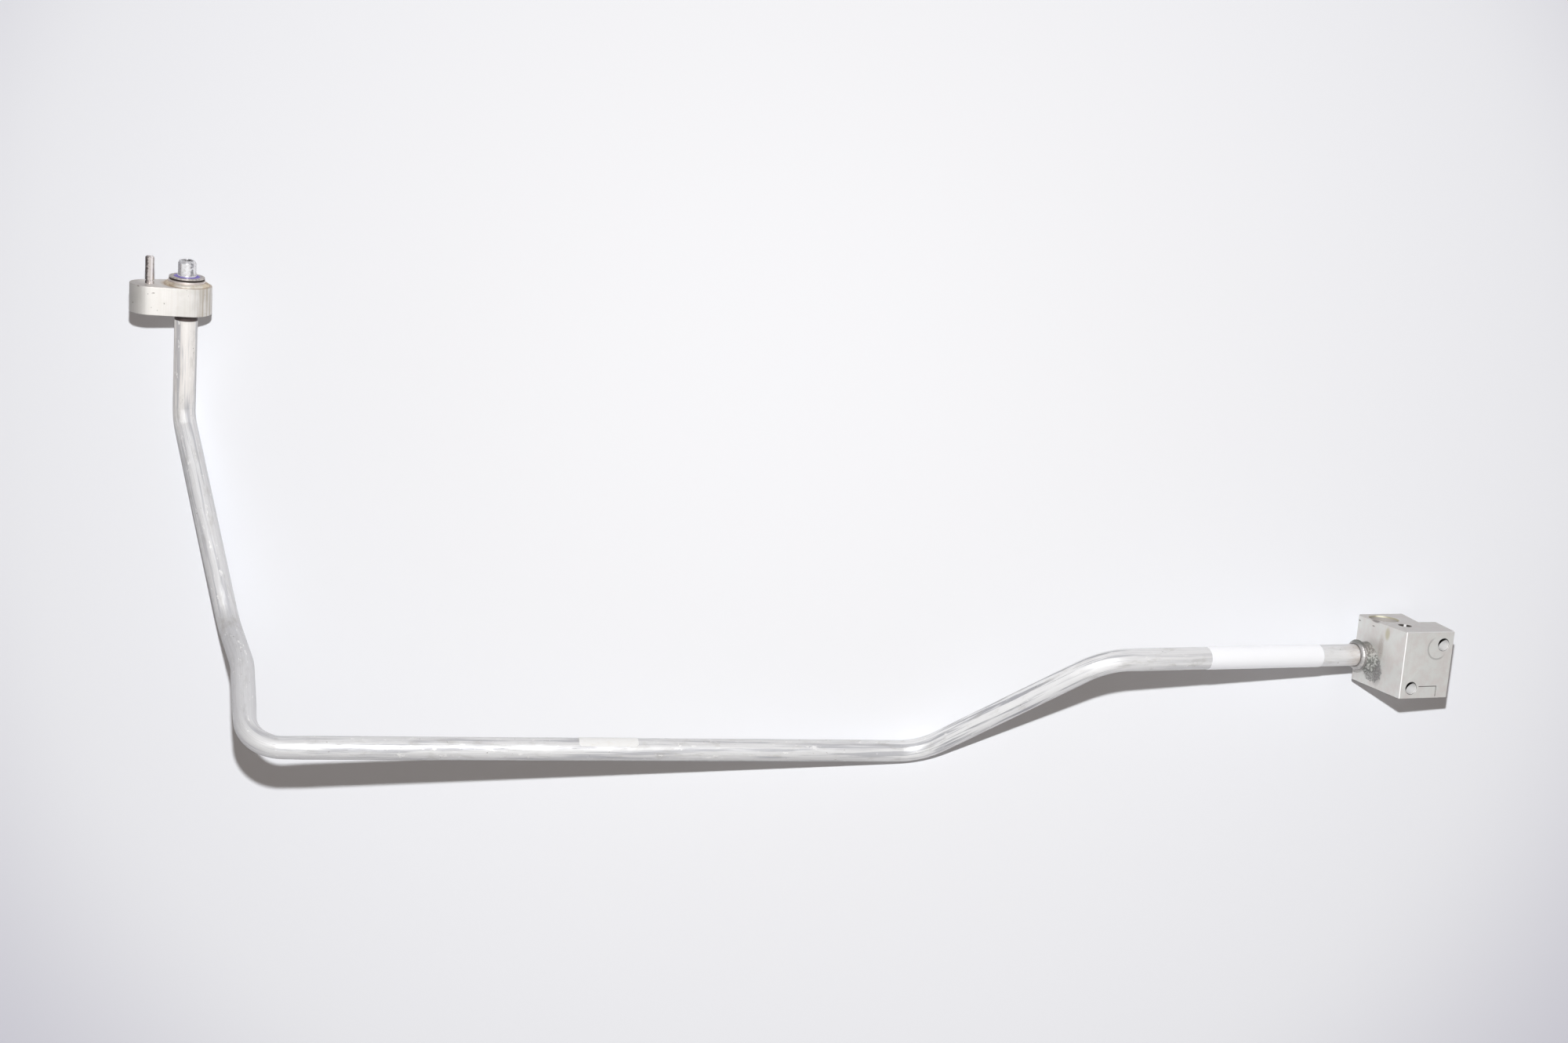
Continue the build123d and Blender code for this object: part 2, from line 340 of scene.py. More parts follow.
def drawn_tube_material(settings):
    """Aluminium tube, cold drawn and bent: pale satin metal with long streaks and a broken highlight."""
    skin = Skin("drawn_aluminium_tube", "tube_mm", Metallic=0.3)
    place, z = skin.place, skin.z
    # Die lines run along the tube, about 0.4 mm apart round it
    lines = grain(place, (2.6, 2.6, 0.02), 4.0)
    # Broader streaks, 1 to 2 mm wide and up to 50 mm long
    streak = grain(place, (0.55, 0.55, 0.022), 3.0, 0.6)
    # Handling wears the drawn skin in patches 10 to 30 mm long
    worn = ramp(grain(place, (0.16, 0.16, 0.05), 3.0, 0.6), 0.42, 0.62)
    # Oxide clouds of a few millimetres
    cloud = grain(place, (0.35, 0.35, 0.12), 4.0, 0.65)
    skin.start(ramp(lines, 0.3, 0.7), "#d6d6d7", settings.colour)
    # Painted light: the run at the flange is painted warmer and paler, and the runs towards the block paler,
    # where they catch more light
    skin.paint(ramp(z, 40, 70, 0.5, 0), "#f7f1ea")
    skin.paint(ramp(z, PAINTED_LIGHT_FROM, PAINTED_LIGHT_FROM + 40, 0, 0.6), "#fafbfc")
    # The streaks are fainter on the close bends, strongest on the slanted run and faint by the white label
    calm = ramp(abs(z - CLOSE_BENDS_AT), 30, 48, 0.2, 1)
    calm = calm * ramp(z, SLANTED_FROM, SLANTED_FROM + 20, 1, 1.4)
    calm = calm * ramp(z, SLANTED_TO, SLANTED_TO + 25, 1, 0.3)
    skin.paint(ramp(streak, 0.48, 0.62) * calm * 0.7, "#afb0b6")
    skin.paint(ramp(lines, 0.60, 0.70) * calm * 0.45, "#9a9ba0")
    skin.paint(ramp(cloud, 0.52, 0.7) * 0.28, settings.stain)
    # Painted shade: the close bends are painted greyer, and the run before them a little, where they catch
    # less light
    skin.paint(ramp(abs(z - CLOSE_BENDS_AT), 30, 50, 0.35, 0), "#c2c2c6")
    skin.paint(ramp(z, 60, 80, 0, 0.2) * ramp(z, 140, 170, 1, 0), "#c2c2c6")
    # White scuffs, a few millimetres long
    scuff = grain(place, (0.45, 0.45, 0.2), 5.0, 0.7, (5, 2, 1))
    skin.paint(ramp(scuff, 0.60, 0.68) * 0.7, "#fbfbfa")
    # One dull stain between bends 2 and 3, and brown specks
    dull = patch(place, (0, 0, STAIN_AT), (9, 9, 7), 0.3) * ramp(cloud, 0.35, 0.6)
    skin.paint(dull * 0.22, "#a8a297")
    skin.paint(ramp(grain(place, (0.8, 0.8, 0.45), 2.0), 0.735, 0.76) * 0.7, "#6d6459")
    # The weld's heat has tinted the last few millimetres
    skin.paint(ramp(z, HEAT_FROM, HEAT_FROM + 14) * ramp(cloud, 0.35, 0.55) * 0.6, "#c4b6ac")
    # Painted shade: a dark band where the tube leaves the plate stands in for the plate's shadow and the
    # dark gap under its rim
    skin.paint(ramp(z, ROOT_SHADE_TO - 0.3, ROOT_SHADE_TO + 0.2, 1, 0) * 0.95, "#33221f")
    # Waves of the drawn surface, a few tenths of a millimetre high, break up the bright streak
    skin.bump(grain(place, (0.14, 0.14, 0.05)), 0.55)
    skin.bump(scuff, 0.12)
    skin.bump(lines, 0.03)
    # Nicks are short scratches along the tube
    nicks = ramp(grain(place, (1.2, 1.2, 0.16), 1.0, shift=(3, 1, 5)), 0.70, 0.74)
    skin.bump(1 - nicks, 0.08)
    # The runs near the flange are duller than the rest
    rough = ramp(lines, 0.25, 0.75, 0.42, 0.53) + ramp(z, DULL_TO, DULL_TO + 35, 0.14, 0)
    return skin.finish(rough + worn * 0.12 + dull * 0.12)


def blasted_plate_material(settings):
    """Aluminium plate, sawn from an extruded bar and blasted: matte and pale, with small pits."""
    skin = Skin("blasted_aluminium_plate", Metallic=0.4)
    place, x = skin.place, skin.x
    # Streaks of the extrusion run through the plate's thickness, mostly at its wide end
    streaks = grain(place, (1.3, 1.3, 0.03))
    streaked = ramp(streaks, 0.46, 0.60) * (ramp(x, 0.0, 6.0) + 0.16)
    grit = grain(place, 3.2, 4.0, 0.6)
    cloud = grain(place, 0.18)
    skin.start(ramp(cloud, 0.4, 0.65), settings.colour, "#dfddda")
    skin.paint(streaked * 0.62, "#b4a999")
    skin.paint(ramp(grit, 0.55, 0.8) * 0.15, "#bdb8ae")
    # Painted light: the flat beside the pin is painted whiter, which undoes the shading where the plate
    # starts to curve
    skin.paint(ramp(x, -21.0, -18.0) * ramp(x, -14.0, -5.0, 0.3, 0), "#f8f6f2")
    # Painted shade: the narrow end by the pin is painted darker where it curves away from the light, and the
    # wide end is greyer
    skin.paint(ramp(x, -16.0, -23.5, 0, 0.55), "#8e8c89")
    skin.paint(ramp(x, 6.0, 10.5, 0, 0.22), "#a39a8d")
    pits = ramp(grain(place, 0.75, 1.0), 0.725, 0.75)
    skin.paint(pits * 0.75, "#6b645b")
    # Flux stain on the top face, round the fitting
    on_top = ramp(skin.z, 12.6, 12.9)
    stained = ramp(off_axis(place, (0, 0, None)), 9.4, 12.0, 1, 0) * on_top
    skin.paint(stained * ramp(cloud, 0.3, 0.6, 0.3, 0.8), "#c9b08c")
    skin.paint(on_top * 0.25, "#c9bfba")
    skin.bump(grit, 0.03)
    skin.bump(streaked, 0.03)
    skin.bump(1 - pits, 0.12)
    return skin.finish(ramp(grit, 0.3, 0.7, 0.48, 0.60))


def turned_fitting_material():
    """Aluminium fitting, turned on a lathe: bright, with fine rings across its axis."""
    skin = Skin("turned_aluminium_fitting", Metallic=0.75)
    # Tool marks of about 0.3 mm pitch run round the axis
    rings = grain(skin.place, (0.05, 0.05, 3.5), 2.0)
    mark = grain(skin.place, 0.8)
    skin.start(ramp(mark, 0.45, 0.7), "#e8e8ea", "#d6d4d4")
    # Painted reflections: the spigot's sides are painted greyer, and a dull dark strip runs down beside its
    # middle
    edges = ramp(abs(skin.x), 2.9, 3.9, 0, 0.7)
    painted_reflection_strip = ramp(abs(skin.x - 1.4), 0.3, 1.1, 0.75, 0) * ramp(mark, 0.35, 0.5)
    skin.paint(edges.larger(painted_reflection_strip) * ramp(skin.z, PILOT_TOP, PILOT_TOP + 0.5), "#77767a")
    # The collar under the lip is dull
    collar = ramp(skin.z, PILOT_TOP - LIP_T - 0.2, PILOT_TOP - LIP_T, 1, 0)
    skin.paint(collar * 0.75, "#cfc3bb")
    skin.bump(rings, 0.02)
    skin.bump(mark, 0.03, 0.6)
    return skin.finish(ramp(rings, 0.3, 0.7, 0.20, 0.30) + collar * 0.2)


def flux_braze_material(settings):
    """Aluminium braze, run round the fitting by a torch: satin, stained golden brown by the flux."""
    skin = Skin("flux_stained_braze", Metallic=0.6)
    cloud = grain(skin.place, 0.28, 4.0, 0.6)
    fine = grain(skin.place, 1.6)
    skin.start(ramp(cloud, 0.38, 0.62), settings.braze, "#efe9df")
    # The flux ran brown on the two sides
    skin.paint(ramp(abs(skin.x), 4.5, 8.5) * ramp(cloud, 0.4, 0.55) * 0.8, "#a98f6d")
    skin.paint(ramp(fine, 0.55, 0.75) * 0.3, "#a08761")
    skin.bump(cloud, 0.25)
    skin.bump(fine, 0.06)
    return skin.finish(ramp(fine, 0.3, 0.7, 0.36, 0.52))


def ground_pin_material():
    """Steel pin, ground and pressed in: grey metal with painted dark reflections along its sides and a
    painted highlight between them.
    """
    skin = Skin("ground_steel_pin", Metallic=0.5)
    spots = grain(skin.place, 1.1)
    skin.start(ramp(spots, 0.5, 0.7), "#cac3c0", "#b0a8a4")
    # Painted reflections: both sides are painted dark, and a bright strip between them is a painted
    # highlight
    skin.paint(ramp(spots * -1.4 + skin.x, -1.4, -2.3, 0, 0.95), "#3f3836")
    skin.paint(ramp(skin.x, 1.2, 1.9, 0, 0.6), "#6f6667")
    skin.paint(ramp(abs(skin.x - 0.55), 0.2, 0.6, 0.85, 0), "#fffafa")
    skin.bump(grain(skin.place, (0.1, 0.1, 4.0), 2.0), 0.01)
    return skin.finish(ramp(spots, 0.3, 0.7, 0.16, 0.24))


def stamped_ring_material(low):
    """Steel ring of the washer, stamped and tumbled: grey satin, with painted shade along its lower edge."""
    skin = Skin("stamped_steel_ring", Metallic=0.6)
    spots = grain(skin.place, 0.9)
    skin.start(ramp(spots, 0.4, 0.65), "#c9c3c0", "#a39d99")
    # Painted shade: the lower edge is painted dark, where the ring sits over the shoulder
    skin.paint(ramp(skin.z, low + 0.5, low + 0.7, 0.95, 0), "#3a302a")
    skin.bump(spots, 0.05)
    return skin.finish(ramp(spots, 0.3, 0.7, 0.48, 0.60))


def moulded_lip_material(settings):
    """Rubber lip, moulded and oiled: smooth violet with a soft shine."""
    skin = Skin("moulded_rubber_lip", Metallic=0.0, IOR=1.5)
    spots = grain(skin.place, 0.8, 2.0)
    skin.start(ramp(spots, 0.4, 0.7), settings.lip, "#9384d6")
    skin.bump(spots, 0.04)
    return skin.finish(ramp(spots, 0.3, 0.7, 0.46, 0.58))


def scribe(offset, at, along, middle, half):
    """Share that is 1 on a scratched line at an offset, over a stretch about a middle."""
    return ramp(abs(offset - at), 0.12, 0.2, 1, 0) * ramp(abs(along - middle), half, half + 0.1, 1, 0)


def painted_bore_shadow(place, x, z):
    """Share that is 1 where a bore's wall lies in painted shadow, past the slanting edge of the lamp's light
    from the front face.
    """
    first = place.dot((1, -0.863, 0)) - x
    second = place.dot((0, 0.514, 1)) - z
    return ramp(first * first + second * second, 6.6, 7.8)


# Dark marks on the block's tube side, each with its centre and size in the block's own frame
DARK_MARKS = (
    ((0.3, 21.5, -0.2), (1.2, 2.4, 0.6)),
    ((0, 32.5, -2.4), (1, 0.9, 0.3)),
    ((0, 22.5, -2.7), (1, 0.8, 0.3)),
)


def extruded_block_material(settings):
    """Aluminium block, sawn from an extruded bar and milled: satin grey with lines, marks and weld smut."""
    skin = Skin("extruded_aluminium_block")
    place, across, back, up = skin.place, skin.x, skin.y, skin.z
    on_side = ramp(across, 0.3, 0.5, 1, 0)
    on_front = ramp(back, 0.3, 0.5, 1, 0)
    # Extrusion lines run along the bar, which is the block's own Z
    lines = grain(place, (1.6, 1.6, 0.05), 4.0)
    cloud = grain(place, 0.16, 3.0, 0.6)
    fine = grain(place, 2.4)
    skin.start(ramp(cloud, 0.35, 0.68), settings.colour, "#dad6d3")
    skin.paint(ramp(lines, 0.5, 0.75) * 0.2, "#ececea")
    # The top end is darker, and edges by the front are painted white as a painted highlight
    skin.paint(ramp(up, -0.5, -0.3) * 0.5, "#bdb8b6")
    near_front = ramp(back, 0.2, 0.45, 1, 0)
    near_top = ramp(up, -0.5, -0.25) * near_front
    skin.paint((ramp(across, 0.2, 0.45, 1, 0) * near_front).larger(near_top * 0.6), WHITE)
    # Brown and yellow smears on the tube side
    smear = patch(place, (0, 16.0, -11.5), (3, 1.6, 5.5), 0.5) * on_side
    skin.paint(smear * ramp(fine, 0.3, 0.6) * 0.5, "#a08f84")
    skin.paint(patch(place, (0, 12.6, -4.0), (3, 1.4, 2.6), 0.5) * on_side * 0.55, "#b5ae86")
    # Dark marks by the top edge, below the port's rim
    for centre, size in DARK_MARKS:
        skin.paint(patch(place, centre, size, 0.4) * 0.75, "#7f7875")
    # Weld soot in front of and below the bead, with a ragged edge and lighter spatter
    ragged = (grain(place, 0.6, 4.0, 0.7) - 0.5) * 2.4
    soot = patch(place, (0, 19.8, -22.2), (3, 6.2, 6.0), 0.3) * on_side + ragged
    soot = ramp(soot, 0.4, 0.75) * on_side
    crust = grain(place, 1.1, 4.0, 0.65)
    skin.paint(soot * 0.85, blend_colour(ramp(crust, 0.42, 0.66), "#868684", "#cfcfce"))
    # Its lower front side is rubbed in smooth and dark
    skin.paint(patch(place, (0, 16.6, -23.6), (3, 2.6, 4.6), 0.5) * on_side * 0.6, "#8a8888")
    # Witness mark of a screw head beside the first screw hole, of which only the left and lower part shows
    ring = ramp(abs(off_axis(place, (17.4, None, -7.6)) - 5.1), 0.2, 0.55, 1, 0) * on_front
    skin.paint(ring * ramp(across * 0.9 + up * 0.7, 8.5, 13.0, 1, 0) * 0.45, "#8f8d8c")
    # A scribed line with a corner, low on the front face
    upright = scribe(across, 19.2, up, -27.6, 2.4) * ramp(fine, 0.40, 0.47)
    scribed = scribe(up, -25.3, across, 14.5, 4.7).larger(upright) * on_front
    skin.paint(scribed * 0.9, "#55524f")
    # Bored walls are painted white near the mouth, a painted sheen, and black in a painted shadow on the far
    # side, past the edge of the lamp's light
    bores = [ramp(off_axis(place, (x, None, z)), 2.9, 3.1, 1, 0) for x, z in SCREWS_AT]
    bore_shadows = [bore * painted_bore_shadow(place, x, z) for bore, (x, z) in zip(bores, SCREWS_AT)]
    bored = bores[0].larger(bores[1])
    skin.paint(bored, blend_colour(bore_shadows[0].larger(bore_shadows[1]), WHITE, "#161413"))
    # The port's wall is tinted gold by heat near its rim, with a painted highlight at the back, and grey
    # deeper down
    in_port = ramp(off_axis(place, (*PORT_AT, None)), 6.6, 6.9, 1, 0) * ramp(up, -0.1, 0.0, 1, 0.3)
    heat_gold_and_highlight = blend_colour(ramp(abs(across - (PORT_X + 2.8)), 0.5, 3.0), "#fffde6", "#b4af99")
    skin.paint(in_port, blend_colour(ramp(up, -0.9, -0.55), "#b6b2ae", heat_gold_and_highlight))
    # The thread in the stud hole is painted dark, a painted shade, with one bright strip that is a painted
    # highlight
    in_stud = ramp(off_axis(place, (*STUD_AT, None)), 2.8, 3.1, 1, 0)
    painted_reflection_strip = abs(place.dot((0.76, -0.65, 0)) - (0.76 * STUD_AT[0] - 0.65 * STUD_AT[1]))
    skin.paint(in_stud, blend_colour(ramp(painted_reflection_strip, 0.4, 0.7), WHITE, "#4b4844"))
    skin.bump(lines, 0.02)
    skin.bump(fine, 0.015)
    skin.bump(soot * crust, 0.7)
    skin.bump(1 - scribed, 0.1)
    rough = ramp(fine, 0.3, 0.7, 0.48, 0.58) + soot * 0.12
    return skin.finish(rough, 0.5 - bored.larger(in_port) * 0.5)


def welded_bead_material(settings):
    """Aluminium weld, run by hand round the tube: bright crown, painted shade on its toes, groove and top
    side, and a sooty neck with lumps.
    """
    skin = Skin("welded_aluminium_bead")
    place, z = skin.place, skin.z
    fine = grain(place, 1.1, 4.0, 0.6)
    crust = grain(place, 0.9, 4.0, 0.65)
    skin.start(ramp(fine, 0.4, 0.7), settings.weld, "#cbc7c4")
    # A groove parts its two passes, painted dark as painted shade
    groove = ramp(abs(z - 5.4), 0.15, 0.45, 0.65, 0)
    skin.paint(groove, "#7d7875")
    # Soot lies below and in front of the tube, and the rest of the neck is cleaner
    neck = ramp(z, 4.2, 4.6, 1, 0)
    soot = blend_colour(ramp(crust, 0.42, 0.62), "#7c7e7a", "#c4c5c2")
    clean = blend_colour(ramp(crust, 0.45, 0.6), "#8b8884", "#b9b6b2")
    skin.paint(neck, blend_colour(ramp(place.dot((-0.7, -0.7, 0)), 1.5, 4.8), clean, soot))
    # The bead's top side is painted darker, a painted shade
    skin.paint(ramp(skin.x, 4.6, 6.2) * 0.75, "#7b7c77")
    # Painted shade: the toes, where the bead meets the neck and the tube, are painted dark
    toes = ramp(abs(z - 4.7), 0.15, 0.5, 1, 0).larger(ramp(z, 6.6, 7.0))
    skin.paint(toes * 0.8, "#5f5956")
    skin.bump(fine, 0.12)
    skin.bump(1 - groove, 0.25)
    skin.bump(crust * neck, 0.5)
    rough = ramp(fine, 0.3, 0.7, 0.40, 0.54) + neck * 0.15
    return skin.finish(rough, ramp(z, 4.2, 4.6, 0.35, 0.8))


def coated_label_material(name, colour, shade, painted_glow=0.0):
    """Paper label with a smooth coat: plain and pale, with a soft sheen and faint fibres."""
    # Painted light: the paper glows faintly of its own, so that it looks brighter
    glow = {"Emission Color": as_colour("#f4f6ff"), "Emission Strength": painted_glow}
    skin = Skin(name, Metallic=0.0, IOR=1.55, **glow)
    fibres = grain(skin.place, (1.2, 1.2, 0.5), 4.0, 0.6)
    skin.start(ramp(fibres, 0.45, 0.75) * 0.4, colour, shade)
    skin.paint(ramp(grain(skin.place, 0.25), 0.55, 0.75) * 0.35, shade)
    skin.bump(fibres, 0.02)
    return skin.finish(ramp(fibres, 0.3, 0.7, 0.38, 0.48))


def pale_floor_material(settings):
    """Coated board, rolled smooth: pale and matte; far from the pipe it fades into the background."""
    skin = Skin("coated_board_floor", None, Metallic=0.0, Roughness=0.75, **{"Specular IOR Level": 0.2})
    tree = skin.tree
    # Painted shade: the board is painted greyer and bluer away from the middle of the light, as the light
    # falls off there; its place is in metres
    away = off_axis(skin.place, (0, 0.06, None))
    skin.start(ramp(away, 0.12, 0.40), settings.floor, "#f6f9ff")
    skin.paint(ramp(away, 0.36, 0.51), "#e0e2ee")
    # Past half a metre the camera sees plain background, so that no horizon shows from low down
    share = ramp(away, 0.46, 0.68) * field(tree, "ShaderNodeLightPath", "Is Camera Ray")
    plain = field(tree, "ShaderNodeEmission", "Emission", {"Color": as_colour(BACKDROP), "Strength": 1.0})
    mixed = field(tree, "ShaderNodeMixShader", "Shader", {0: share, 1: skin.lit, 2: plain})
    tree.links.new(mixed.socket, skin.output.inputs["Surface"])
    return skin.finish()


# Shapes


def on_circle(radius, angle):
    return radius * math.cos(angle), radius * math.sin(angle)


def rounded(corners, steps=3, closed=True):
    """Outline with corners cut by arcs; a corner is (x, y), which stays sharp, or (x, y, its radius)."""
    made = []
    count = len(corners)
    for i, corner in enumerate(corners):
        here = Vector(corner[:2])
        size = corner[2] if len(corner) > 2 else 0
        if size == 0 or (not closed and i in (0, count - 1)):
            made.append(here)
            continue
        before = (Vector(corners[i - 1][:2]) - here).normalized()
        after = (Vector(corners[(i + 1) % count][:2]) - here).normalized()
        half = before.angle(after) / 2
        reach = size / math.tan(half)
        centre = here + (before + after).normalized() * size / math.sin(half)
        first = here + before * reach - centre
        turn = first.angle_signed(here + after * reach - centre)
        for k in range(steps + 1):
            made.append(centre + Matrix.Rotation(-turn * k / steps, 2) @ first)
    return made


def lathe(outline, segments=96, closed=True, shape=None):
    """Mesh of an outline of (radius, height) turned about Z; open outlines start and end on the axis."""
    bm = bmesh.new()
    rings = []
    for radius, height in outline:
        if radius < 1e-6:
            rings.append([bm.verts.new((0, 0, height))])
            continue
        ring = []
        for k in range(segments):
            angle = math.tau * k / segments
            r, z = shape(angle, radius, height) if shape else (radius, height)
            ring.append(bm.verts.new((*on_circle(r, angle), z)))
        rings.append(ring)
    last = len(rings) if closed else len(rings) - 1
    for i in range(last):
        first, second = rings[i], rings[(i + 1) % len(rings)]
        for k in range(segments):
            pairs = ((first, k), (first, k + 1), (second, k + 1), (second, k))
            # A ring on the axis gives the same corner twice
            bm.faces.new(list(dict.fromkeys(ring[at % len(ring)] for ring, at in pairs)))
    bmesh.ops.recalc_face_normals(bm, faces=bm.faces)
    return bm


def join_rings(bm, first, second):
    """Faces between two rings of as many points."""
    for k in range(len(first)):
        n = (k + 1) % len(first)
        bm.faces.new((first[k], first[n], second[n], second[k]))


def add_object(name, bm):
    """Object of a mesh in the making, in the scene."""
    mesh = bpy.data.meshes.new(name)
    bm.to_mesh(mesh)
    bm.free()
    made = bpy.data.objects.new(name, mesh)
    bpy.context.scene.collection.objects.link(made)
    return made


def remove_object(made):
    mesh = made.data
    bpy.data.objects.remove(made)
    bpy.data.meshes.remove(mesh)


def finish_piece(bm, name, matrix, material, node, sharp=40.0):
    """Places a mesh made in its own frame in millimetres, shades it and lets it stand for its CAD node."""
    piece = add_object(name, bm)
    mesh = piece.data
    own = mesh.attributes.new("own_mm", "FLOAT_VECTOR", "POINT")
    own.data.foreach_set("vector", [c for v in mesh.vertices for c in v.co])
    mesh.transform(Matrix.Scale(MM, 4) @ matrix)
    mesh.polygons.foreach_set("use_smooth", [True] * len(mesh.polygons))
    mesh.set_sharp_from_angle(angle=math.radians(sharp))
    mesh.materials.append(material)
    even = piece.modifiers.new("even_shading", "WEIGHTED_NORMAL")
    even.keep_sharp = True
    settle(piece)
    place_piece(piece, node)


def settle(piece):
    """Turns the piece with its modifiers into a plain mesh."""
    evaluated = piece.evaluated_get(bpy.context.evaluated_depsgraph_get())
    plain = bpy.data.meshes.new_from_object(evaluated)
    piece.modifiers.clear()
    old = piece.data
    piece.data = plain
    bpy.data.meshes.remove(old)
    plain.name = piece.name


def place_piece(piece, node):
    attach(piece, "root")
    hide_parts(node)


# Tube

TUBE_R = 5.0
TUBE_START = 9.0
SOCKET = 4.0
TUBE_ENDS = (PLATE_BACK + FLANGE_AXIS * TUBE_START, BLOCK_ENTRY + BLOCK_IN * SOCKET)
BEND_STEPS = 20
RUN_STEP = 0.008
FEWEST_TUBE_FACES = 1000
# Places along the tube from its end in the fitting
ROOT_SHADE_TO = 12.5
STAIN_AT = 168.0
CLOSE_BENDS_AT = 197.0
DULL_TO = 205.0
PAINTED_LIGHT_FROM = 500.0
SLANTED_FROM = 540.0
SLANTED_TO = 635.0
HEAT_FROM = 757.0


def tube_rail():
    """Chain of the tube's bend points in metres, each with its bend radius as an attribute."""
    points = [(TUBE_ENDS[0], 0.0), *BENDS, (TUBE_ENDS[1], 0.0)]
    mesh = bpy.data.meshes.new("tube")
    mesh.from_pydata([p * MM for p, r in points], [(i, i + 1) for i in range(len(points) - 1)], [])
    radii = mesh.attributes.new("bend_radius", "FLOAT", "POINT")
    radii.data.foreach_set("value", [r * MM for p, r in points])
    return mesh


def value_at(index, value, kind):
    """Value at the point that has an index."""
    return field(index.tree, "GeometryNodeFieldAtIndex", 0, {"Index": index, "Value": value}, data_type=kind)


def captured(curve, **values):
    """Curve that keeps values on its points, and then these values."""
    kept = add_node(curve.tree, "GeometryNodeCaptureAttribute", {"Geometry": curve}, domain="POINT")
    for name, (kind, value) in values.items():
        kept.capture_items.new(kind, name)
        curve.tree.links.new(value.socket, kept.inputs[name])
    return [Field(curve.tree, kept.outputs[name]) for name in ("Geometry", *values)]


def tube_tree():
    """Geometry nodes that bend a tube along a chain of points and keep each place round and along it."""
    tree = bpy.data.node_groups.new("bent_tube", "GeometryNodeTree")
    kinds = {"Geometry": "Geometry", "Outer Radius": "Float", "Bore Radius": "Float", "Flattening": "Float"}
    kinds.update({"Sides": "Int", "Bend Steps": "Int", "Material": "Material"})
    for name, kind in kinds.items():
        tree.interface.new_socket(name, in_out="INPUT", socket_type="NodeSocket" + kind)
    tree.interface.new_socket("Geometry", in_out="OUTPUT", socket_type="NodeSocketGeometry")
    given = {socket.name: Field(tree, socket) for socket in add_node(tree, "NodeGroupInput").outputs}

    rail = field(tree, "GeometryNodeMeshToCurve", "Curve", {"Mesh": given["Geometry"]})
    named = {"Name": "bend_radius"}
    radius = field(tree, "GeometryNodeInputNamedAttribute", "Attribute", named, data_type="FLOAT")
    corners = {"Curve": rail, "Count": given["Bend Steps"], "Radius": radius}
    bent = field(tree, "GeometryNodeFilletCurve", "Curve", corners, mode="POLY")

    # Straight runs are divided about every 8 mm
    index = field(tree, "GeometryNodeInputIndex", 0)
    along = field(tree, "GeometryNodeSplineParameter", "Length")
    cuts = (value_at(index + 1, along, "FLOAT") - along).maths("DIVIDE", RUN_STEP)
    divided = field(tree, "GeometryNodeSubdivideCurve", "Curve", {"Curve": bent, "Cuts": cuts})

    # The way a bend turns is the change of its tangent from point to point
    tangent = field(tree, "GeometryNodeInputTangent", 0)
    ahead, behind = (value_at(index + step, tangent, "FLOAT_VECTOR") for step in (1, -1))
    turning = ahead.vectors("SUBTRACT", {1: behind}, "Vector")
    bend = {"Value": turning.length(), "From Min": 0.01, "From Max": 0.06}
    share = field(tree, "ShaderNodeMapRange", "Result", bend)
    inward = turning.vectors("NORMALIZE", {}, "Vector").scaled(share)
    rail, along, inward = captured(divided, along=("FLOAT", along), inward=("VECTOR", inward))

    walls = add_node(tree, "GeometryNodeJoinGeometry")
    for name in ("Outer Radius", "Bore Radius"):
        sizes = {"Resolution": given["Sides"], "Radius": given[name]}
        ring = field(tree, "GeometryNodeCurvePrimitiveCircle", "Curve", sizes)
        position = field(tree, "GeometryNodeInputPosition", 0)
        ring, around = captured(ring, around=("VECTOR", position))
        wall = field(tree, "GeometryNodeCurveToMesh", "Mesh", {"Curve": rail, "Profile Curve": ring})
        place = dict(enumerate((*around.parts()[:2], along)))
        in_mm = field(tree, "ShaderNodeCombineXYZ", 0, place).scaled(1 / MM)
        stored = {"Geometry": wall, "Name": "tube_mm", "Value": in_mm}
        on_points = {"data_type": "FLOAT_VECTOR", "domain": "POINT"}
        wall = field(tree, "GeometryNodeStoreNamedAttribute", "Geometry", stored, **on_points)
        if name == "Outer Radius":
            # A bend is pressed in on its outer and inner side
            facing = field(tree, "GeometryNodeInputNormal", 0).dot(inward)
            pressed = inward.scaled(facing * given["Flattening"] * -1.0)
            wall = field(tree, "GeometryNodeSetPosition", "Geometry", {"Geometry": wall, "Offset": pressed})
        else:
            wall = field(tree, "GeometryNodeFlipFaces", "Mesh", {"Mesh": wall})
        tree.links.new(wall.socket, walls.inputs["Geometry"])
    made = Field(tree, walls.outputs["Geometry"])
    made = field(tree, "GeometryNodeSetShadeSmooth", "Geometry", {"Geometry": made})
    made = field(tree, "GeometryNodeRealizeInstances", "Geometry", {"Geometry": made})
    painted = {"Geometry": made, "Material": given["Material"]}
    made = field(tree, "GeometryNodeSetMaterial", "Geometry", painted)
    add_node(tree, "NodeGroupOutput", {"Geometry": made})
    return tree


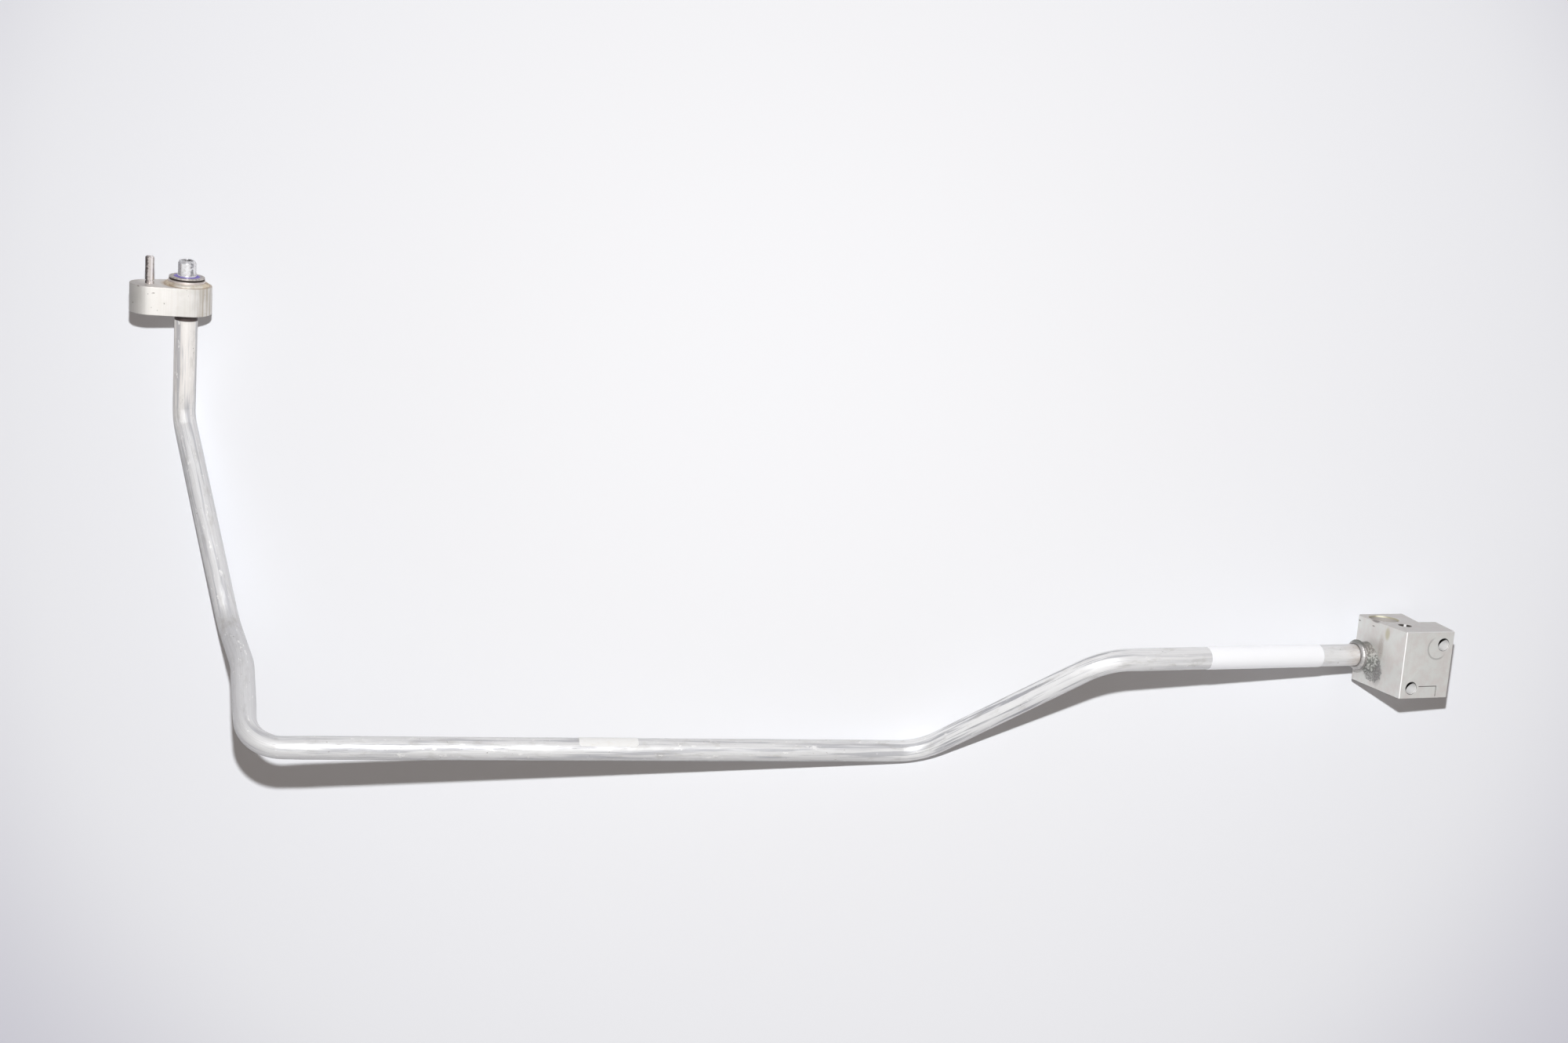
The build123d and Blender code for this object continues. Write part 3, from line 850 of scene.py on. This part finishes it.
class PIPE_OT_add_tube(bpy.types.Operator):
    """Bend the drawn tube along its path, open right through"""

    bl_idname = "pipe.add_tube"
    bl_label = "Tube"

    def execute(self, context):
        settings = context.scene.pipe_tube
        piece = bpy.data.objects.new("tube", tube_rail())
        context.scene.collection.objects.link(piece)
        tree = tube_tree()
        bend = piece.modifiers.new("bent_tube", "NODES")
        bend.node_group = tree
        values = {
            "Outer Radius": settings.outer_diameter / 2,
            "Bore Radius": settings.outer_diameter / 2 - settings.wall,
            "Flattening": settings.flattening,
            "Sides": settings.sides,
            "Bend Steps": BEND_STEPS,
            "Material": drawn_tube_material(settings),
        }
        for item in tree.interface.items_tree:
            if item.in_out == "INPUT" and item.name in values:
                bend[item.identifier] = values[item.name]
        settle(piece)
        # Rings close the wall at both ends
        bm = bmesh.new()
        bm.from_mesh(piece.data)
        rims = [e for e in bm.edges if e.is_boundary]
        for end in TUBE_ENDS:
            near = [e for e in rims if (e.verts[0].co - end * MM).length < settings.outer_diameter]
            bmesh.ops.bridge_loops(bm, edges=near)
        bmesh.ops.recalc_face_normals(bm, faces=bm.faces)
        bm.to_mesh(piece.data)
        bm.free()
        if len(piece.data.polygons) < FEWEST_TUBE_FACES or "tube_mm" not in piece.data.attributes:
            raise RuntimeError("the tube was not made")
        piece.data.set_sharp_from_angle(angle=math.radians(40))
        place_piece(piece, "pipe")
        return {"FINISHED"}


# Flange end

PLATE_EDGE = 0.35
PLATE_BORE_SIDES = 72
SHOULDER_R = 8.0
SHOULDER_T = 2.3
BRAZE_W = 2.0
BRAZE_H = 1.4
BRAZE_SWELL = 0.35
TAIL_R = 6.2
TAIL_RECESS = 3.0
TUBE_SEAT = 6.0
PILOT_R = 4.1
PILOT_TOP = 17.3
SPIGOT_R = 3.9
SPIGOT_END = 24.1
SPIGOT_TIP = 1.3
SPIGOT_BORE_R = 2.6
PIN_R = 1.9
PIN_OUT = 12.4
PIN_IN = 9.0
PIN_TIP = 0.6
PIN_NECK = 0.35
PIN_FIT = 0.02
WASHER_R = 7.7
WASHER_HOLE_R = 5.6
WASHER_T = 1.2
WASHER_FIT = 0.01
LIP_HOLE_R = 4.15
LIP_T = 1.7
GAP = 0.05


def egg_outline(big, small, offset, inset=0.0, steps=60):
    """Points round two circles and their common tangents, drawn in by an inset."""
    lean = math.acos((big - small) / offset)
    made = []
    for radius, centre, start, end in (
        (big, 0.0, lean - math.pi, math.pi - lean),
        (small, -offset, math.pi - lean, math.pi + lean),
    ):
        for k in range(steps + 1):
            x, y = on_circle(radius - inset, start + (end - start) * k / steps)
            made.append((centre + x, y))
    return made


class PIPE_OT_add_flange_plate(bpy.types.Operator):
    """Cut the egg-shaped plate with its two holes and rounded rims"""

    bl_idname = "pipe.add_flange_plate"
    bl_label = "Flange Plate"

    def execute(self, context):
        settings = context.scene.pipe_flange
        thick = settings.thickness / MM
        sizes = (settings.big_radius, settings.small_radius, settings.pin_offset)
        big, small, offset = (size / MM for size in sizes)
        bm = bmesh.new()
        levels = []
        for k in range(4):
            turn = math.pi / 2 * k / 3
            levels.append((PLATE_EDGE * (1 - math.sin(turn)), PLATE_EDGE * (1 - math.cos(turn))))
        levels += [(inset, thick - height) for inset, height in reversed(levels)]
        rings = [
            [bm.verts.new((x, y, height)) for x, y in egg_outline(big, small, offset, inset)]
            for inset, height in levels
        ]
        for lower, upper in zip(rings, rings[1:]):
            join_rings(bm, lower, upper)
        # Bores through the plate and for the pin, closed at the pin's foot
        for centre, radius, foot in ((0.0, TAIL_R + GAP, 0.0), (-offset, PIN_R + PIN_FIT, thick - PIN_IN)):
            circle = [on_circle(radius, math.tau * k / PLATE_BORE_SIDES) for k in range(PLATE_BORE_SIDES)]
            upper, lower = (
                [bm.verts.new((centre + x, y, height)) for x, y in circle] for height in (thick, foot)
            )
            join_rings(bm, upper, lower)
            if foot > 0:
                bm.faces.new(lower)
        for height in (0.0, thick):
            rim = [
                e for e in bm.edges if e.is_boundary and all(abs(v.co.z - height) < 1e-4 for v in e.verts)
            ]
            bmesh.ops.triangle_fill(bm, edges=rim, use_beauty=True, use_dissolve=False)
        bmesh.ops.recalc_face_normals(bm, faces=bm.faces)
        material = blasted_plate_material(settings)
        finish_piece(bm, "plate", ON_FLANGE, material, "flange_plate")
        return {"FINISHED"}


class PIPE_OT_add_end_fitting(bpy.types.Operator):
    """Turn the end fitting and run the braze round its shoulder"""

    bl_idname = "pipe.add_end_fitting"
    bl_label = "End Fitting and Braze"

    def execute(self, context):
        settings = context.scene.pipe_flange
        thick = settings.thickness / MM
        top = thick + SHOULDER_T
        seat = TAIL_RECESS + TUBE_SEAT
        outline = (
            (TUBE_R + GAP, TAIL_RECESS, 0.1), (TAIL_R, TAIL_RECESS, 0.15), (TAIL_R, thick),
            (SHOULDER_R, thick, 0.1), (SHOULDER_R, top, 0.3),
            (PILOT_R, top, 0.1), (PILOT_R, PILOT_TOP, 0.1),
            (SPIGOT_R, PILOT_TOP, 0.1), (SPIGOT_R, SPIGOT_END - SPIGOT_TIP, 0.25),
            (SPIGOT_R - SPIGOT_TIP / 2, SPIGOT_END, 0.2), (SPIGOT_BORE_R, SPIGOT_END, 0.2),
            (SPIGOT_BORE_R, seat), (TUBE_R + GAP, seat),
        )
        fitting = lathe(rounded(outline))
        material = turned_fitting_material()
        finish_piece(fitting, "fitting", ON_FLANGE, material, "end_fitting")

        def uneven(angle, radius, height):
            swell = noise.noise((*on_circle(3, angle), SEED))
            out = (radius - SHOULDER_R) / BRAZE_W
            up = (height - thick) / BRAZE_H
            return radius + BRAZE_SWELL * out * (swell - 0.35), height + BRAZE_SWELL * up * (swell - 0.3)

        low, inner = thick + GAP, SHOULDER_R + GAP
        outline = (
            (inner, low), (inner + BRAZE_W, low, 0.08), (inner + 1.35, low + 0.85, 0.8),
            (inner + 0.35, low + 1.35, 0.2), (inner, low + BRAZE_H, 0.05),
        )
        bead = lathe(rounded(outline, steps=5), segments=120, shape=uneven)
        finish_piece(bead, "braze", ON_FLANGE, flux_braze_material(settings), "flange_braze")
        return {"FINISHED"}


class PIPE_OT_add_locating_pin(bpy.types.Operator):
    """Turn the locating pin with the neck near its foot"""

    bl_idname = "pipe.add_locating_pin"
    bl_label = "Locating Pin"

    def execute(self, context):
        settings = context.scene.pipe_flange
        thick = settings.thickness / MM
        outline = (
            (0, thick - PIN_IN), (PIN_R, thick - PIN_IN, 0.2),
            (PIN_R, thick + 0.9, 0.12), (PIN_R - PIN_NECK, thick + 1.35, 0.12), (PIN_R, thick + 1.8, 0.12),
            (PIN_R, thick + PIN_OUT - PIN_TIP, 0.4), (PIN_R - PIN_TIP, thick + PIN_OUT, 0.25),
            (0, thick + PIN_OUT),
        )
        matrix = ON_FLANGE @ Matrix.Translation((-settings.pin_offset / MM, 0, 0))
        pin = lathe(rounded(outline, steps=4, closed=False), segments=72, closed=False)
        finish_piece(pin, "pin", matrix, ground_pin_material(), "locating_pin")
        return {"FINISHED"}


class PIPE_OT_add_seal_washer(bpy.types.Operator):
    """Make the steel ring of the seal washer and the rubber lip in it"""

    bl_idname = "pipe.add_seal_washer"
    bl_label = "Seal Washer"

    def execute(self, context):
        settings = context.scene.pipe_flange
        base = settings.thickness / MM + SHOULDER_T
        low = base + (LIP_T - WASHER_T) / 2
        high, inner = low + WASHER_T, WASHER_HOLE_R + WASHER_FIT
        outline = ((inner, low, 0.1), (WASHER_R, low, 0.3), (WASHER_R, high, 0.3), (inner, high, 0.1))
        steel = stamped_ring_material(low)
        ring = lathe(rounded(outline, steps=4))
        finish_piece(ring, "washer_ring", ON_FLANGE, steel, "seal_ring")
        crest = (LIP_HOLE_R + WASHER_HOLE_R) / 2
        outline = (
            (WASHER_HOLE_R, low), (WASHER_HOLE_R, high), (crest, base + LIP_T, 0.5),
            (LIP_HOLE_R, high, 0.1), (LIP_HOLE_R, low, 0.1), (crest, base, 0.5),
        )
        rubber = moulded_lip_material(settings)
        lip = lathe(rounded(outline, steps=4))
        finish_piece(lip, "washer_lip", ON_FLANGE, rubber, "seal_lip")
        return {"FINISHED"}


# Block

EAR_D = 18.2
EAR_STEP = 9.4
SIDE_DRAFT = math.tan(math.radians(14.2))
BACK_CORNER_R = 2.5
FEWEST_BLOCK_FACES = 300
PORT_X = 7.3
BORE_R = 3.5
# Places of the port and the stud hole on the top end, and of the two screw holes on the front face
PORT_AT = (PORT_X, PIPE_FROM_FRONT)
STUD_AT = (8.6, 12.3)
SCREWS_AT = ((20.4, -6.1), (5.8, -26.0))
# Outlines of the holes, as (radius, depth) from the face
PORT_SEAT = ((6.7, -1), (6.7, 0), (6.4, 0.3), (6.4, 4.5))
PORT_HOLE = (*PORT_SEAT, (BORE_R + 0.2, 4.5), (BORE_R, 4.7), (BORE_R, 20.4))
STUD_HOLE = ((3.1, -1), (3.1, 0), (2.5, 0.6), (2.5, 15.0))
SCREW_HOLE = ((3.05, -1), (3.05, 0), (2.75, 0.3), (2.75, 37.0))
TUBE_HOLE = ((TUBE_R + GAP, -1), (TUBE_R + GAP, SOCKET + GAP), (BORE_R, SOCKET + GAP), (BORE_R, PORT_X))


def cutter(outline, place, turn=0, axis="X"):
    """Solid to cut a hole with; its outline runs down from the face along its own -Z."""
    profile = [(0.0, -outline[0][1])] + [(r, -d) for r, d in outline] + [(0.0, -outline[-1][1])]
    made = add_object("hole", lathe(profile, segments=64, closed=False))
    made.data.transform(Matrix.Translation(place) @ Matrix.Rotation(math.radians(turn), 4, axis))
    return made


class PIPE_OT_add_connection_block(bpy.types.Operator):
    """Saw the block from its stepped bar, round its edges and bore its holes"""

    bl_idname = "pipe.add_connection_block"
    bl_label = "Connection Block"

    def execute(self, context):
        settings = context.scene.pipe_block
        width, length, depth = (size / MM for size in (settings.width, settings.length, settings.depth))
        ear, inner = width + EAR_D * SIDE_DRAFT, width - EAR_STEP
        outline = (
            (0, 0), (width, 0), (ear, EAR_D), (inner + EAR_D * SIDE_DRAFT, EAR_D),
            (inner + depth * SIDE_DRAFT, depth), (0, depth, BACK_CORNER_R),
        )
        bm = bmesh.new()
        top = bm.faces.new([bm.verts.new((x, y, 0)) for x, y in rounded(outline, steps=8)])
        bottom = bmesh.ops.extrude_face_region(bm, geom=[top])
        lower = [v for v in bottom["geom"] if isinstance(v, bmesh.types.BMVert)]
        bmesh.ops.translate(bm, verts=lower, vec=(0, 0, -length))
        bmesh.ops.recalc_face_normals(bm, faces=bm.faces)
        sharp = [e for e in bm.edges if e.is_manifold and e.calc_face_angle(0) > math.radians(25)]
        bmesh.ops.bevel(bm, geom=sharp, offset=settings.edge / MM, segments=3, profile=0.5, affect="EDGES")
        bar = add_object("block_bar", bm)
        cutters = [cutter(PORT_HOLE, (*PORT_AT, 0)), cutter(STUD_HOLE, (*STUD_AT, 0))]
        cutters += [cutter(SCREW_HOLE, (x, 0, z), 90) for x, z in SCREWS_AT]
        cutters.append(cutter(TUBE_HOLE, (0, PIPE_FROM_FRONT, -PIPE_FROM_TOP), -90, "Y"))
        for made in cutters:
            cut = bar.modifiers.new("cut", "BOOLEAN")
            cut.object = made
            cut.operation = "DIFFERENCE"
            cut.solver = "EXACT"
        settle(bar)
        for made in cutters:
            remove_object(made)
        if len(bar.data.polygons) < FEWEST_BLOCK_FACES:
            raise RuntimeError("the block's holes were not cut")
        bm = bmesh.new()
        bm.from_mesh(bar.data)
        remove_object(bar)
        material = extruded_block_material(settings)
        finish_piece(bm, "block", ON_BLOCK, material, "connection_block", sharp=30.0)
        return {"FINISHED"}


# Weld: a lumpy neck on the block and the bead in front of it

WELD_R = TUBE_R + GAP
WELD_NECK_L = 4.6
BEAD_W = 2.1
BEAD_H = 2.4
BEAD_SWELL = 0.2
RIPPLES = 34
RIPPLE_H = 0.06
FOOT_SPREAD = 1.9
FOOT_R = 5.7
LOW_FRONT = math.radians(225)


class PIPE_OT_add_weld_bead(bpy.types.Operator):
    """Run the rippled weld bead round the tube where it enters the block"""

    bl_idname = "pipe.add_weld_bead"
    bl_label = "Weld Bead"

    def execute(self, context):
        settings = context.scene.pipe_block

        def rippled(angle, radius, height):
            swell = noise.noise((*on_circle(1.5, angle), SEED))
            up = (height - WELD_NECK_L) / BEAD_H
            if up > 0:
                out = max(0.0, (radius - WELD_R) / BEAD_W)
                ripple = RIPPLE_H * math.sin(RIPPLES * angle + 3 * swell)
                press = min(1.0, 2 * min(out, up) + 0.2)
                lift = BEAD_SWELL * (swell - 0.3)
                return radius + out * (lift + ripple) * press, height + up * lift * press
            # The neck is lumpy, and spreads over the block below and in front of the tube
            lump = noise.noise((*on_circle(2.5, angle), 0.6 * height + SEED))
            low_front = max(0.0, math.cos(angle - LOW_FRONT))
            spread = (1 - height / WELD_NECK_L) * FOOT_SPREAD * low_front + 0.1
            # Away from there its foot is small
            foot = max(0.0, radius - FOOT_R) * 0.7 * (1 - low_front)
            # Its inner wall stays on the tube
            if radius > WELD_R + GAP:
                radius += spread * (1 + 1.2 * lump) - foot
            return radius, height

        neck = WELD_NECK_L + GAP
        # Each corner is (distance from the tube, distance from the block's face, its radius)
        corners = (
            (0, GAP, 0), (1.6, GAP, 0.05), (1.2, GAP + 0.4, 0), (0.6, GAP + 1.2, 0.9), (0.5, GAP + 2.4, 0),
            (0.45, neck - 0.5, 0), (0.5, neck - 0.1, 0.1), (1.8, neck, 0.2), (BEAD_W, neck + 0.45, 0.3),
            (1.75, neck + 1.2, 0.5), (1.2, neck + 1.8, 0.6), (0.35, neck + 2.25, 0.3),
            (0, neck + BEAD_H, 0.05),
        )
        outline = rounded([(WELD_R + out, *rest) for out, *rest in corners], steps=4)
        bead = lathe(outline, segments=144, shape=rippled)
        finish_piece(bead, "weld", ON_ENTRY, welded_bead_material(settings), "weld_bead")
        return {"FINISHED"}


# Labels

LABEL_GAP = 0.03
LABEL_L = 57.9
LABEL_WRAP = math.radians(290)
LABEL_CORNER_R = 0.25
LABEL_FROM_BEND = 50.3
LABEL_GLOW = 0.14
TAG_L = 26.4
TAG_WRAP = math.radians(130)
TAG_CORNER_R = 1.0
TAG_FROM_BEND = 138.8
TAG_TURN = math.radians(86)
RUN_DIR = (BENDS[4][0] - BENDS[3][0]).normalized()
RUN_SIDE = Vector((0, 0, 1)).cross(RUN_DIR).normalized()
TAG_MIDDLE = turned(RUN_DIR.cross(RUN_SIDE), RUN_SIDE, TAG_TURN)


def label_band(length, wrap, corner, thickness, tube_r):
    """Thin closed band round Z, centred on X, with rounded corners."""
    bm = bmesh.new()
    inner, outer = tube_r + LABEL_GAP, tube_r + LABEL_GAP + thickness
    half = wrap / 2 * outer
    around, along = 96, 24
    skins = []
    for radius in (outer, inner):
        grid = []
        for i in range(along + 1):
            z = length * i / along
            # Near an end the band is narrower by the corner's arc
            near = max(0.0, corner - min(z, length - z))
            side = half - corner + math.sqrt(corner * corner - near * near)
            row = []
            for k in range(around + 1):
                angle = (2 * k / around - 1) * side / outer
                row.append(bm.verts.new((*on_circle(radius, angle), z)))
            grid.append(row)
        for i in range(along):
            for k in range(around):
                bm.faces.new((grid[i][k], grid[i][k + 1], grid[i + 1][k + 1], grid[i + 1][k]))
        skins.append(grid)

    def rim(grid):
        down = [row[-1] for row in grid]
        return grid[0] + down[1:] + grid[-1][-2::-1] + [row[0] for row in grid][-2:0:-1]

    join_rings(bm, rim(skins[0]), rim(skins[1]))
    bmesh.ops.recalc_face_normals(bm, faces=bm.faces)
    return bm


class PIPE_OT_add_labels(bpy.types.Operator):
    """Wrap the white label and the small cream label round the tube"""

    bl_idname = "pipe.add_labels"
    bl_label = "Labels"

    def execute(self, context):
        settings = context.scene.pipe_label
        sizes = settings.thickness / MM, context.scene.pipe_tube.outer_diameter / 2 / MM
        band = label_band(LABEL_L, LABEL_WRAP, LABEL_CORNER_R, *sizes)
        matrix = frame_matrix(BENDS[-1][0] + BLOCK_IN * LABEL_FROM_BEND, BLOCK_FRONT, BLOCK_IN)
        paper = coated_label_material("coated_white_paper", settings.white, "#f1f2f8", LABEL_GLOW)
        finish_piece(band, "white_paper_label", matrix, paper, "identification_label")
        band = label_band(TAG_L, TAG_WRAP, TAG_CORNER_R, *sizes)
        matrix = frame_matrix(BENDS[3][0] + RUN_DIR * TAG_FROM_BEND, TAG_MIDDLE, RUN_DIR)
        paper = coated_label_material("aged_cream_paper", settings.cream, "#e3e1dc")
        finish_piece(band, "cream_paper_label", matrix, paper, "small_label")
        return {"FINISHED"}


# Stage

FLOOR_HALF = 4.0
CAMERA_AT = Vector((-9.6, -20.8, 707.35))
CAMERA_TURN = Matrix(
    ((0.99995, 0.0, -0.01003), (-0.00024, 0.99971, -0.02426), (0.01003, 0.02426, 0.99966))
)
CAMERA_LENS = 34.2
CAMERA_SENSOR = 36.0
LAMP_AT = Vector((-7.9, 92.3, 711.0))


class PIPE_OT_set_stage(bpy.types.Operator):
    """Lay the pale floor, and set the camera, the lamp and the light from all round"""

    bl_idname = "pipe.set_stage"
    bl_label = "Stage"

    def execute(self, context):
        settings = context.scene.pipe_stage
        scene = context.scene
        bm = bmesh.new()
        bmesh.ops.create_grid(bm, x_segments=8, y_segments=8, size=FLOOR_HALF)
        floor = add_object("floor", bm)
        floor.data.materials.append(pale_floor_material(settings))

        camera = bpy.data.cameras.new("camera")
        camera.sensor_fit = "HORIZONTAL"
        camera.sensor_width = CAMERA_SENSOR
        camera.lens = CAMERA_LENS
        camera.clip_start = 0.01
        eye = bpy.data.objects.new("camera", camera)
        eye.matrix_world = Matrix.Translation(CAMERA_AT * MM) @ CAMERA_TURN.to_4x4()
        scene.collection.objects.link(eye)
        scene.camera = eye

        # The floor darkens only a little outwards, so the light thins with distance and not with its square
        lamp = bpy.data.lights.new("lamp", "POINT")
        lamp.energy = settings.lamp_power
        lamp.shadow_soft_size = settings.lamp_radius
        lamp.use_nodes = True
        tree = lamp.node_tree
        tree.nodes.clear()
        thin = field(tree, "ShaderNodeLightFalloff", "Linear", {"Strength": 1.0})
        glow = field(tree, "ShaderNodeEmission", "Emission", {"Strength": thin})
        add_node(tree, "ShaderNodeOutputLight", {"Surface": glow})
        hung = bpy.data.objects.new("lamp", lamp)
        hung.location = LAMP_AT * MM
        scene.collection.objects.link(hung)

        world = bpy.data.worlds.new("room")
        world.use_nodes = True
        tree = world.node_tree
        tree.nodes.clear()
        path = add_node(tree, "ShaderNodeLightPath").outputs
        camera_ray, glossy, through = (
            Field(tree, path[name]) for name in ("Is Camera Ray", "Is Glossy Ray", "Is Transmission Ray")
        )
        # Metal shows a pale wall and window on the near side, and a grey ceiling towards the far side
        way = field(tree, "ShaderNodeTexCoord", "Generated").parts()
        overhead = blend_colour(ramp(way[1], -0.45, 0.2), WHITE, "#b4b4b8")
        shown = blend_colour(ramp(way[2], 0.1, 0.5), "#dedee2", overhead)
        shown = blend_colour(camera_ray, shown, BACKDROP)
        warm = as_colour("#fbeee4")
        room = field(tree, "ShaderNodeBackground", "Background", {"Color": shown, "Strength": 1.0})
        light = field(tree, "ShaderNodeBackground", "Background", {"Color": warm, "Strength": settings.fill})
        seen = camera_ray.larger(glossy).larger(through)
        mixed = field(tree, "ShaderNodeMixShader", "Shader", {0: seen, 1: light, 2: room})
        add_node(tree, "ShaderNodeOutputWorld", {"Surface": mixed})
        scene.world = world
        scene.view_settings.view_transform = "Standard"
        return {"FINISHED"}


class PIPE_PT_pieces(bpy.types.Panel):
    """Buttons that build each piece of the pipe"""

    bl_idname = "PIPE_PT_pieces"
    bl_label = "Air Conditioning Pipe"
    bl_space_type = "VIEW_3D"
    bl_region_type = "UI"
    bl_category = "Pipe"

    def draw(self, context):
        for operator in OPERATORS:
            self.layout.operator(operator.bl_idname)


OPERATORS = (
    PIPE_OT_set_stage,
    PIPE_OT_add_tube,
    PIPE_OT_add_flange_plate,
    PIPE_OT_add_end_fitting,
    PIPE_OT_add_locating_pin,
    PIPE_OT_add_seal_washer,
    PIPE_OT_add_connection_block,
    PIPE_OT_add_weld_bead,
    PIPE_OT_add_labels,
)

SETTINGS = {
    "pipe_tube": PipeTubeSettings,
    "pipe_flange": PipeFlangeSettings,
    "pipe_block": PipeBlockSettings,
    "pipe_label": PipeLabelSettings,
    "pipe_stage": PipeStageSettings,
}


def register():
    for name, group in SETTINGS.items():
        bpy.utils.register_class(group)
        setattr(bpy.types.Scene, name, PointerProperty(type=group))
    for made in (*OPERATORS, PIPE_PT_pieces):
        bpy.utils.register_class(made)


def unregister():
    for made in (PIPE_PT_pieces, *reversed(OPERATORS)):
        bpy.utils.unregister_class(made)
    for name, group in reversed(SETTINGS.items()):
        delattr(bpy.types.Scene, name)
        bpy.utils.unregister_class(group)


def main():
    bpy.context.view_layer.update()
    register()
    for operator in OPERATORS:
        group, action = operator.bl_idname.split(".")
        getattr(getattr(bpy.ops, group), action)()


if __name__ == "__main__":
    main()
